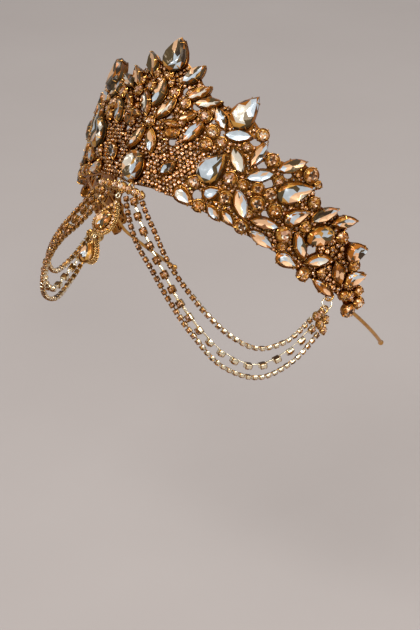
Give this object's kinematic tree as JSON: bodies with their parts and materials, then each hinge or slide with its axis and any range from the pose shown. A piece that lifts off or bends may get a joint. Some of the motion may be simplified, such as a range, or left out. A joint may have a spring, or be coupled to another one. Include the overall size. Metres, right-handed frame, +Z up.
{
  "type": "bridal crown",
  "caption": "Tall open bridal crown of gilt metal set with champagne stones, with draped side chains and a forehead pendant.",
  "frame": {"origin": "centre of the ellipse that the band wire follows, where the crown sits on a head", "axes": "+Z up as worn, the wearer faces -Y, +X is the wearer's left; the band plane drops 42.3 degrees towards the back"},
  "size_m": [0.1672, 0.1296, 0.1543],
  "materials": {
    "gilt_metal": "antique gilt, satin with bright edges",
    "cup_chain": "bright gilt cups holding small champagne stones",
    "champagne_stone": "foil-backed faceted glass, champagne with pale blue, peach and olive facets"
  },
  "bodies": {
    "root": {"crown_frame": "gilt_metal", "peak_pear": "champagne_stone", "sunburst_top_navette": "champagne_stone", "front_oval": "champagne_stone", "top_navette_1_left": "champagne_stone", "top_navette_1_right": "champagne_stone", "top_navette_2_left": "champagne_stone", "top_navette_2_right": "champagne_stone", "top_navette_3_left": "champagne_stone", "top_navette_3_right": "champagne_stone", "top_navette_4_left": "champagne_stone", "top_navette_4_right": "champagne_stone", "crest_pear_left": "champagne_stone", "crest_pear_right": "champagne_stone", "mid_navette_1_left": "champagne_stone", "mid_navette_1_right": "champagne_stone", "mid_navette_2_left": "champagne_stone", "mid_navette_2_right": "champagne_stone", "mid_navette_3_left": "champagne_stone", "mid_navette_3_right": "champagne_stone", "mid_navette_4_left": "champagne_stone", "mid_navette_4_right": "champagne_stone", "mid_navette_5_left": "champagne_stone", "mid_navette_5_right": "champagne_stone", "mid_pear_left": "champagne_stone", "mid_pear_right": "champagne_stone", "low_navette_1_left": "champagne_stone", "low_navette_1_right": "champagne_stone", "low_navette_2_left": "champagne_stone", "low_navette_2_right": "champagne_stone", "low_navette_3_left": "champagne_stone", "low_navette_3_right": "champagne_stone", "wing_navette_1_left": "champagne_stone", "wing_navette_1_right": "champagne_stone", "wing_pear_left": "champagne_stone", "wing_pear_right": "champagne_stone", "wing_navette_2_left": "champagne_stone", "wing_navette_2_right": "champagne_stone", "wing_oval_left": "champagne_stone", "wing_oval_right": "champagne_stone", "upper_chain_left": "cup_chain", "middle_chain_left": "cup_chain", "lower_chain_left": "cup_chain", "upper_chain_right": "cup_chain", "middle_chain_right": "cup_chain", "lower_chain_right": "cup_chain", "centre_connector": "gilt_metal", "pendant_upper": "gilt_metal", "pendant_upper_stone": "champagne_stone", "pendant_lower": "gilt_metal", "pendant_lower_stone": "champagne_stone", "pendant_bail": "gilt_metal", "pendant_link": "gilt_metal", "side_ring_left": "gilt_metal", "chain_end_left": "gilt_metal", "side_ring_right": "gilt_metal", "chain_end_right": "gilt_metal"}
  },
  "joints": []
}
